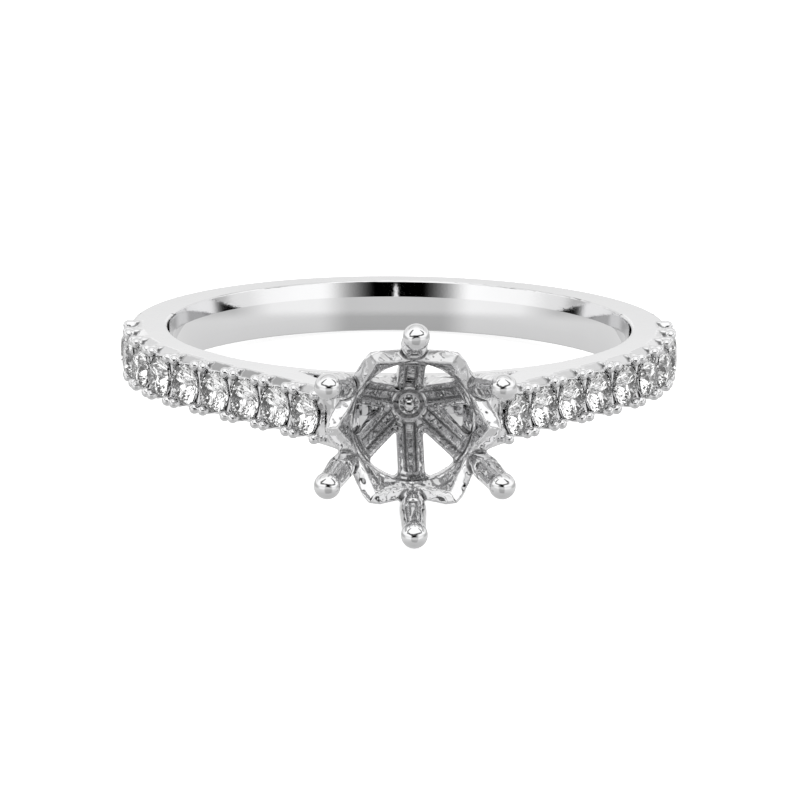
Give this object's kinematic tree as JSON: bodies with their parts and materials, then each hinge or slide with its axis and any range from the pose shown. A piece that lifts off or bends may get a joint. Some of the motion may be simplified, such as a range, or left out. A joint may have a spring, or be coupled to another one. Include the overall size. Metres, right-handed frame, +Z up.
{
  "type": "diamond engagement ring setting with an empty six-prong head",
  "caption": "White-metal ring with pave-set shoulders rising to an open prong head that is ready for a round stone.",
  "frame": {"origin": "centre of the bounding box in plan, on the surface that the ring rests on", "axes": "+Z up from that surface, -Y towards the head, +X to the right as seen from the head"},
  "size_m": [0.0204, 0.0252, 0.0079],
  "materials": {
    "white_gold": "high polish, rhodium-plated white gold",
    "diamond": "faceted and polished diamond"
  },
  "bodies": {
    "root": {"ring_metal": "white_gold", "stone_left_1": "diamond", "stone_left_2": "diamond", "stone_left_3": "diamond", "stone_left_4": "diamond", "stone_left_5": "diamond", "stone_left_6": "diamond", "stone_left_7": "diamond", "stone_left_8": "diamond", "stone_left_9": "diamond", "stone_right_1": "diamond", "stone_right_2": "diamond", "stone_right_3": "diamond", "stone_right_4": "diamond", "stone_right_5": "diamond", "stone_right_6": "diamond", "stone_right_7": "diamond", "stone_right_8": "diamond", "stone_right_9": "diamond"}
  },
  "joints": []
}
